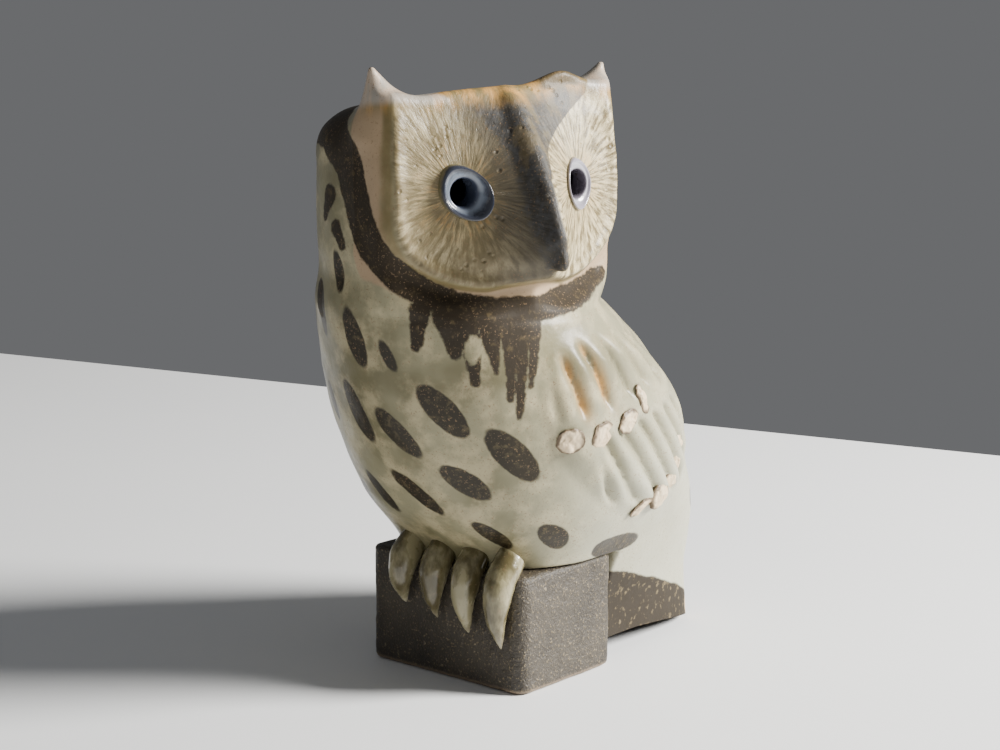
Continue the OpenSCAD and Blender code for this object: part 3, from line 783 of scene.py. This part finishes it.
def bareClay(name):
    material, bench, shader, place = newMaterial(name)
    cloud = grain(bench, place, 240, 4)
    fine = grain(bench, place, 1100, 3)
    colour = bench.blend(cloud.over(0.35, 0.65), (0.58, 0.44, 0.27), (0.68, 0.55, 0.36))
    colour = bench.blend((fine.over(0.62, 0.74) * 0.35).held(), colour, (0.36, 0.22, 0.12))
    # the pad's rim, where it meets the wing, is darkened: painted shade
    edge = bench.read("padEdge")
    colour = bench.blend((edge + (cloud - 0.5) * 0.5).over(0.72, 0.95), colour, (0.13, 0.09, 0.05))
    finishGlaze(bench, shader, colour, 0.5 + (fine - 0.5) * 0.3, (0.4, 0.0006, cloud + fine * 0.3), {})
    return material


def clawGlaze(name):
    material, bench, shader, place = newMaterial(name)
    cloud = grain(bench, place, 130, 4, 0.6, stretch=(1, 1, 0.5))
    fine = grain(bench, place, 700, 4)
    colour = bench.blend(cloud.over(0.35, 0.62), (0.08, 0.065, 0.028), (0.26, 0.23, 0.13))
    colour = bench.blend((fine.over(0.6, 0.7) * 0.5).held(), colour, tones["brownThin"])
    point = bench.read("clawRun")
    colour = bench.blend(((point - 0.8) * 3.0 + (cloud - 0.5)).held() * 0.5, colour, (0.60, 0.55, 0.42))
    finishGlaze(bench, shader, colour, 0.26 + (cloud - 0.5) * 0.3, (0.4, 0.001, cloud + fine * 0.25),
                {"Coat Weight": 0.35})
    return material


def eyeGlaze(name, lip, dish, pool):
    material, bench, shader, place = newMaterial(name)
    cloud = grain(bench, place, 260, 4)
    fine = grain(bench, place, 900, 3)
    run = bench.read("ringRun")  # 0 at the pupil, 1 on the outer edge
    colour = bench.blend(((run - 0.42) * 4.0 + (cloud - 0.5) * 2.2).held(), dish, lip)
    colour = bench.blend((run.over(0.34, 0.10)).held(), colour, pool)
    colour = bench.blend(((run - 0.93) * 12.0 + (fine - 0.5)).held(), colour, tones["celadonDeep"])
    finishGlaze(bench, shader, colour, 0.16 + (cloud - 0.4).highest(0.0) * 0.5, (0.3, 0.0008, cloud),
                {"Coat Weight": 0.6, "Coat Roughness": 0.08})
    return material


# ---- pieces grown by node trees ----

def newTree(name, sockets):
    tree = bpy.data.node_groups.new(name, "GeometryNodeTree")
    tree.interface.new_socket("Geometry", in_out="INPUT", socket_type="NodeSocketGeometry")
    for label, kind in sockets:
        tree.interface.new_socket(label, in_out="INPUT", socket_type="NodeSocket" + kind)
    tree.interface.new_socket("Geometry", in_out="OUTPUT", socket_type="NodeSocketGeometry")
    given = tree.nodes.new("NodeGroupInput")
    return Bench(tree), {s.name: Wire(tree, s) for s in given.outputs if s.name}


def endTree(bench, shape, material):
    shape = bench.add("GeometryNodeRealizeInstances", Geometry=shape)
    shape = bench.add("GeometryNodeSetMaterial", Geometry=shape, Material=material)
    out = bench.tree.nodes.new("NodeGroupOutput")
    bench.tree.links.new(shape.socket, out.inputs[0])
    return bench.tree


def grow(name, tree, values, base=None):
    carrier = bpy.data.objects.new(name + "Carrier", base or bpy.data.meshes.new(name + "Base"))
    bpy.context.scene.collection.objects.link(carrier)
    modifier = carrier.modifiers.new("grow", "NODES")
    modifier.node_group = tree
    for item in tree.interface.items_tree:
        if item.in_out == "INPUT" and item.name in values:
            modifier[item.identifier] = values[item.name]
    graph = bpy.context.evaluated_depsgraph_get()
    mesh = bpy.data.meshes.new_from_object(carrier.evaluated_get(graph), preserve_all_data_layers=True,
                                           depsgraph=graph)
    bpy.data.objects.remove(carrier)
    mesh.name = name
    piece = bpy.data.objects.new(name, mesh)
    bpy.context.scene.collection.objects.link(piece)
    return piece


def moveBy(bench, shape, offset):
    return bench.add("GeometryNodeSetPosition", Geometry=shape, Offset=offset)


def drift(bench, scale, amount):
    # a small wander of the surface, the same on every run
    place = bench.add("GeometryNodeInputPosition")
    field = bench.add("ShaderNodeTexNoise", {}, out=1, Vector=place, Scale=scale, Detail=3.0)
    centred = bench.add("ShaderNodeVectorMath", {"operation": "SUBTRACT"}, i0=field, i1=(0.5, 0.5, 0.5))
    return bench.add("ShaderNodeVectorMath", {"operation": "SCALE"}, i0=centred, Scale=amount)


def blockTree(material):
    bench, given = newTree("blockTree", [("Size", "Vector"), ("Middle", "Vector"),
                                         ("Corner", "Float"), ("Edge", "Float")])
    tree = bench.tree
    counts = {"Vertices X": 91, "Vertices Y": 65, "Vertices Z": 55}
    cube = bench.add("GeometryNodeMeshCube", {}, Size=given["Size"], **counts)
    place = bench.add("GeometryNodeInputPosition")
    parts = tree.nodes.new("ShaderNodeSeparateXYZ")
    tree.links.new(place.socket, parts.inputs[0])
    halves = tree.nodes.new("ShaderNodeSeparateXYZ")
    tree.links.new(given["Size"].socket, halves.inputs[0])
    x, y, z = (Wire(tree, s) for s in parts.outputs)
    halfX, halfY, halfZ = (Wire(tree, s) * 0.5 for s in halves.outputs)
    corner, edge = given["Corner"], given["Edge"]
    overX, overY = (x.size() - (halfX - corner)).highest(0.0), (y.size() - (halfY - corner)).highest(0.0)
    far = (overX * overX + overY * overY + 1e-12) ** 0.5
    keep = overX.highest(overY) / far
    signX, signY = x.maths("SIGN", x), y.maths("SIGN", y)
    roundX = x - signX * overX * (1 - keep)
    roundY = y - signY * overY * (1 - keep)
    share = (z.size() - (halfZ - edge)).highest(0.0) / edge
    inset = 1 - (1 - (1 - share * share).highest(0.0) ** 0.5) * edge / halfY
    made = bench.add("ShaderNodeCombineXYZ", X=roundX * inset, Y=roundY * inset, Z=z)
    shape = bench.add("GeometryNodeSetPosition", Geometry=cube, Position=made)
    shape = moveBy(bench, shape, given["Middle"])
    for scale, amount in ((60, 0.0016), (420, 0.0005)):  # sideways only, so the faces stay level
        wobble = bench.add("ShaderNodeVectorMath", {"operation": "MULTIPLY"}, i0=drift(bench, scale, amount),
                           i1=(1, 1, 0))
        shape = moveBy(bench, shape, wobble)
    shape = bench.add("GeometryNodeSetShadeSmooth", Geometry=shape)
    return endTree(bench, shape, material)


def clawTree(material):
    bench, given = newTree("clawTree", [("Root", "Vector"), ("Knuckle", "Vector"), ("Point", "Vector"),
                                        ("Width", "Float")])
    run = bench.add("GeometryNodeSplineParameter")
    curve = bench.add("GeometryNodeCurveQuadraticBezier", Resolution=40, Start=given["Root"],
                      Middle=given["Knuckle"], End=given["Point"])
    swell = 0.90 + 0.20 * run.maths("SINE", run * math.pi)
    width = given["Width"] * (1 - run ** 1.9).highest(0.0) ** 0.85 * swell + 0.0003
    curve = bench.add("GeometryNodeSetCurveRadius", Curve=curve, Radius=width)
    curve = bench.add("GeometryNodeStoreNamedAttribute", {"data_type": "FLOAT", "domain": "POINT"},
                      Geometry=curve, Name="clawRun", Value=run)
    ring = bench.add("GeometryNodeCurvePrimitiveCircle", {}, Resolution=28, Radius=1.0)
    sweep = bench.tree.nodes.new("GeometryNodeCurveToMesh")
    bench.tree.links.new(curve.socket, sweep.inputs["Curve"])
    bench.tree.links.new(ring.socket, sweep.inputs["Profile Curve"])
    sweep.inputs["Fill Caps"].default_value = True
    if "Scale" in sweep.inputs:
        radius = bench.add("GeometryNodeInputRadius")
        bench.tree.links.new(radius.socket, sweep.inputs["Scale"])
    shape = Wire(bench.tree, sweep.outputs[0])
    shape = bench.add("GeometryNodeMergeByDistance", Geometry=shape, Distance=0.00001)
    shape = moveBy(bench, shape, drift(bench, 150, 0.0014))
    shape = bench.add("GeometryNodeSetShadeSmooth", Geometry=shape)
    return endTree(bench, shape, material)


def padTree(material):
    bench, given = newTree("padTree", [("Wander", "Float")])
    ball = bench.add("GeometryNodeMeshIcoSphere", {}, Radius=1.0, Subdivisions=5)
    place = bench.add("GeometryNodeInputPosition")
    flat = bench.add("ShaderNodeVectorMath", {"operation": "MULTIPLY"}, i0=place, i1=(1, 0, 1))
    outward = bench.add("ShaderNodeVectorMath", {"operation": "LENGTH"}, out=1, i0=flat)
    ball = bench.add("GeometryNodeStoreNamedAttribute", {"data_type": "FLOAT", "domain": "POINT"},
                     Geometry=ball, Name="padEdge", Value=outward)
    turned = bench.add("GeometryNodeInputNamedAttribute", {"data_type": "FLOAT_VECTOR"}, Name="padTurn")
    sized = bench.add("GeometryNodeInputNamedAttribute", {"data_type": "FLOAT_VECTOR"}, Name="padSize")
    shape = bench.add("GeometryNodeInstanceOnPoints", Points=given["Geometry"], Instance=ball,
                      Rotation=turned, Scale=sized)
    shape = bench.add("GeometryNodeRealizeInstances", Geometry=shape)
    noise = bench.add("ShaderNodeVectorMath", {"operation": "SCALE"}, i0=drift(bench, 260, 1.0),
                      Scale=given["Wander"])
    shape = moveBy(bench, shape, noise)
    shape = bench.add("GeometryNodeSetShadeSmooth", Geometry=shape)
    return endTree(bench, shape, material)


# angles and heights set near places worked out by a separate script, see report.md
pads = {  # angle, height, half width, half height, lift
    "upper": [(68.5, 88.5, 4.6, 4.8, 0.9), (80.0, 89.0, 4.9, 4.6, 1.1), (91.5, 91.5, 4.6, 4.3, 0.9),
              (100.5, 96.5, 2.2, 5.6, 0.9)],
    "lower": [(94.5, 58.5, 5.4, 3.2, 0.7), (102.0, 60.5, 4.9, 5.4, 1.9), (109.5, 64.0, 3.2, 4.4, 1.1),
              (115.5, 69.5, 2.6, 4.0, 0.9), (121.5, 75.5, 2.6, 4.4, 0.9)]}


def bodyWall(sign, angle, z):
    wide, mid, front, back, square = (float(v[0]) for v in stationsAt(bodyStations, np.array([z])))
    s, c = math.sin(math.radians(angle)), math.cos(math.radians(angle))
    reach = mid - front if c > 0 else back - mid
    return np.array([sign * wide * abs(s) ** (2 / square),
                     mid - reach * math.copysign(abs(c) ** (2 / square), c), z])


def makePads(tier, side, skin, tree):
    low, field, step = skin[:3]
    sign = -1 if side == "right" else 1
    places, turns, sizes = [], [], []
    for angle, height, half, tall, lift in pads[tier]:
        point = bodyWall(sign, angle, height)[None]
        for settle in range(4):
            normal = slopeAt(low, field, step, point, 1.5)
            point = point - normal * sampleField(low, field, step, point)[:, None]
        normal = Vector(normal[0])
        upward = Vector(bodyWall(sign, angle, height + 2) - bodyWall(sign, angle, height - 2))
        upward = (upward - normal * upward.dot(normal)).normalized()
        across = normal.cross(upward)
        turnTo = Matrix((across, normal, upward)).transposed()
        if turnTo.determinant() < 0:
            turnTo = Matrix((-across, normal, upward)).transposed()
        places.append(toFrame(point + np.array(normal) * 0.15)[0])
        turns.append(tuple(turnTo.to_euler()))
        sizes.append((half * mm, lift * mm, tall * mm))
    base = bpy.data.meshes.new("padBase")
    base.from_pydata([tuple(p) for p in places], [], [])
    for key, values in (("padTurn", turns), ("padSize", sizes)):
        layer = base.attributes.new(key, "FLOAT_VECTOR", "POINT")
        layer.data.foreach_set("vector", np.array(values, np.float32).ravel())
    return grow(tier + "Pads_" + side, tree, {"Wander": 0.0026}, base)


def makeRing(side, material):
    # a lipped almond round the pierced pupil, dished inwards and glazed thick
    sign = -1 if side == "right" else 1
    wide, tall, lean = ringHalf[side]
    profile = [(0, -8), (0, -5), (0, -2.5), (0.01, -0.6), (0.06, 0.4), (0.16, 0.9), (0.30, 1.05),
               (0.45, 1.15), (0.60, 1.6), (0.72, 2.25), (0.83, 2.55), (0.92, 2.2), (0.99, 1.3),
               (1.04, 0.2), (1.05, -1.2),
               (1.0, -3.2), (0.7, -6), (0.35, -8)]
    cols = 96
    a = np.linspace(0, 2 * math.pi, cols, endpoint=False)
    s, c = np.sin(a), np.cos(a)
    ls, lc = math.sin(math.radians(lean)), math.cos(math.radians(lean))
    u, v = wide * np.sign(c) * np.abs(c) ** (2 / 1.8), tall * np.sign(s) * np.abs(s) ** (2 / 1.8)
    turned = np.arctan2(v, u)
    outP, outZ = u * lc + v * ls, v * lc - u * ls
    inTurn = np.arctan2(outZ, outP)
    inP, inZ = pupilMouth * np.cos(inTurn), pupilMouth * np.sin(inTurn)
    middle = float(faceDepth(np.array([eyeAt]), np.array([eyeZ]))[0]) + 2.8
    points, run = [], []
    for share, lift in profile:
        p = sign * eyeAt + mix(inP, outP, share)
        z = eyeZ + mix(inZ, outZ, share)
        plane = middle - 0.22 * (np.abs(p) - eyeAt)
        surface = faceDepth(p, z) + 3.2
        q = mix(plane, surface, smooth(np.array(share), 0.1, 1.0)) + lift
        rowPoints = fromHead(p, q, z).T
        points.append(rowPoints)
        run.append(np.full(cols, share))
    count = len(profile)
    faces = []
    for i in range(count):
        here, above = i * cols, (i + 1) % count * cols
        faces += [(here + j, here + (j + 1) % cols, above + (j + 1) % cols, above + j) for j in range(cols)]
    piece = addPiece("eyeRing_" + side, np.concatenate(points), faces, material)
    setValues(piece.data, "ringRun", np.concatenate(run))
    shape = bmesh.new()
    shape.from_mesh(piece.data)
    bmesh.ops.recalc_face_normals(shape, faces=shape.faces)
    shape.to_mesh(piece.data)
    shape.free()
    return piece


# ---- putting the owl together ----

skinStep = 0.9
low, field, points, quads, normals = meshSkin(skinStep)
print("skin", len(points), "points")
paint = paintAt(points)
labels = pieceAt(points[quads].mean(axis=1))
skin = (low, field, skinStep, points, quads, normals, paint)

skinFinish = {  # piece: its name here, slot, roughness
    "body_shell": ("bodyWall", "body_glaze", 0.36), "tail_skirt": ("tailSkirt", "tail_stoneware", 0.36),
    "head_shell": ("headWall", "head_glaze", 0.36), "crown_plate": ("crownPlate", "crown_glaze", 0.34),
    "face_disc_right": ("faceDisc_right", "face_glaze", 0.34),
    "face_disc_left": ("faceDisc_left", "face_glaze", 0.34), "beak": ("beakRidge", "beak_glaze", 0.30),
    "ear_tuft_right": ("earTuft_right", "ear_glaze", 0.34),
    "ear_tuft_left": ("earTuft_left", "ear_glaze", 0.34),
    "wing_right": ("wingSkin_right", "wing_glaze", 0.36), "wing_left": ("wingSkin_left", "wing_glaze", 0.36)}
glazes = {}
for node, (name, slot, gloss) in skinFinish.items():
    if slot not in glazes:
        glazes[slot] = celadonGlaze(slot, gloss)
    piece = closePiece(node, skin, labels, glazes[slot])
    piece.name = name
    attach(piece, "root")
    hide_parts(node)
    print(name, len(piece.data.polygons), "faces")


def place(piece, node, slot):
    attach(piece, "root")
    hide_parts(node)
    print(piece.name, len(piece.data.polygons), "faces")


blockMiddle = (blockLow + blockHigh) / 2 * mm
blockSize = (blockHigh - blockLow) * mm
blockShape = blockTree(darkStoneware("dark_stoneware"))
blockValues = {"Size": tuple(blockSize), "Middle": tuple(blockMiddle), "Corner": 0.0045, "Edge": 0.0016}
place(grow("perchBlock", blockShape, blockValues), "perch_block", "dark_stoneware")

clawShape = clawTree(clawGlaze("claw_glaze"))
for node in ("claw_right_outer", "claw_right_inner", "claw_left_inner", "claw_left_outer"):
    clawLow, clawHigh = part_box(node)
    across = (clawLow.x + clawHigh.x) / 2
    root = (across, clawHigh.y + 0.0035, clawHigh.z + 0.0005)
    knuckle = (across, clawLow.y + 0.0005, (clawLow.z * 0.35 + clawHigh.z * 0.65))
    point = (across, clawHigh.y - 0.0020, clawLow.z + 0.0004)
    parts = node.split("_")
    name = "claw_" + parts[1] + parts[2].title()
    clawValues = {"Root": root, "Knuckle": knuckle, "Point": point, "Width": 0.0050}
    place(grow(name, clawShape, clawValues), node, "claw_glaze")

padShape = padTree(bareClay("pad_clay"))
for tier in pads:
    for side in ("right", "left"):
        place(makePads(tier, side, skin, padShape), tier + "_pads_" + side, "pad_clay")

ringGlaze = {  # lip, dish and pool
    "right": eyeGlaze("right_eye_glaze", (0.030, 0.034, 0.050), (0.17, 0.20, 0.25), (0.05, 0.06, 0.09)),
    "left": eyeGlaze("left_eye_glaze", (0.30, 0.28, 0.33), (0.34, 0.33, 0.37), (0.11, 0.10, 0.12))}
for side in ("right", "left"):
    place(makeRing(side, ringGlaze[side]), "eye_ring_" + side, side + "_eye_glaze")


# ---- table, light and camera ----

viewTurn, viewRise, viewAway = math.radians(41), math.radians(12), 0.835

def tableTop():
    # the table ends a little way behind the owl, its far edge running askew
    away = Vector((-math.sin(viewTurn), math.cos(viewTurn), 0))
    across = Vector((math.cos(viewTurn), math.sin(viewTurn), 0))
    edge = [across * side + away * reach
            for side, reach in ((-1.5, 1.12), (-1.5, -2.4), (1.5, -2.4), (1.5, -0.32))]
    mesh = bpy.data.meshes.new("tableTop")
    mesh.from_pydata([tuple(v) for v in edge], [], [(0, 1, 2, 3)])
    material, bench, shader, place = newMaterial("table_white")
    cloud = grain(bench, place, 6, 3)
    colour = bench.blend(cloud, (0.84, 0.86, 0.88), (0.90, 0.91, 0.92))
    bench.tree.links.new(colour.socket, shader.inputs["Base Color"])
    shader.inputs["Roughness"].default_value = 0.6
    mesh.materials.append(material)
    table = bpy.data.objects.new("tableTop", mesh)
    bpy.context.scene.collection.objects.link(table)


def softLight(name, position, aim, size, power, colour):
    data = bpy.data.lights.new(name, "AREA")
    data.shape, data.size, data.energy, data.color = "DISK", size, power, colour
    light = bpy.data.objects.new(name, data)
    bpy.context.scene.collection.objects.link(light)
    light.location = position
    light.rotation_euler = (Vector(position) - Vector(aim)).to_track_quat("Z", "Y").to_euler()


tableTop()
softLight("windowLight", (0.98, 0.68, 0.70), (0, 0, 0.1), 0.5, 78, (1.0, 0.975, 0.93))
softLight("frontFill", (0.15, -1.3, 0.75), (0, 0, 0.1), 1.2, 0.6, (0.96, 0.98, 1.0))
world = bpy.data.worlds.new("room")
bpy.context.scene.world = world
world.use_nodes = True
world.node_tree.nodes["Background"].inputs[0].default_value = (0.52, 0.53, 0.55, 1)
world.node_tree.nodes["Background"].inputs[1].default_value = 0.28

aim = Vector(((0 - midX) * mm, (22 - midY) * mm, 0.095))
level = math.cos(viewRise)
back = Vector((math.sin(viewTurn) * level, -math.cos(viewTurn) * level, math.sin(viewRise)))
cameraData = bpy.data.cameras.new("camera")
cameraData.lens, cameraData.sensor_width = 90, 36
cameraData.shift_x, cameraData.shift_y = 0.0127, 0.0141
camera = bpy.data.objects.new("camera", cameraData)
bpy.context.scene.collection.objects.link(camera)
camera.location = aim + back * viewAway
camera.rotation_euler = back.to_track_quat("Z", "Y").to_euler()
bpy.context.scene.camera = camera

bpy.context.view_layer.update()
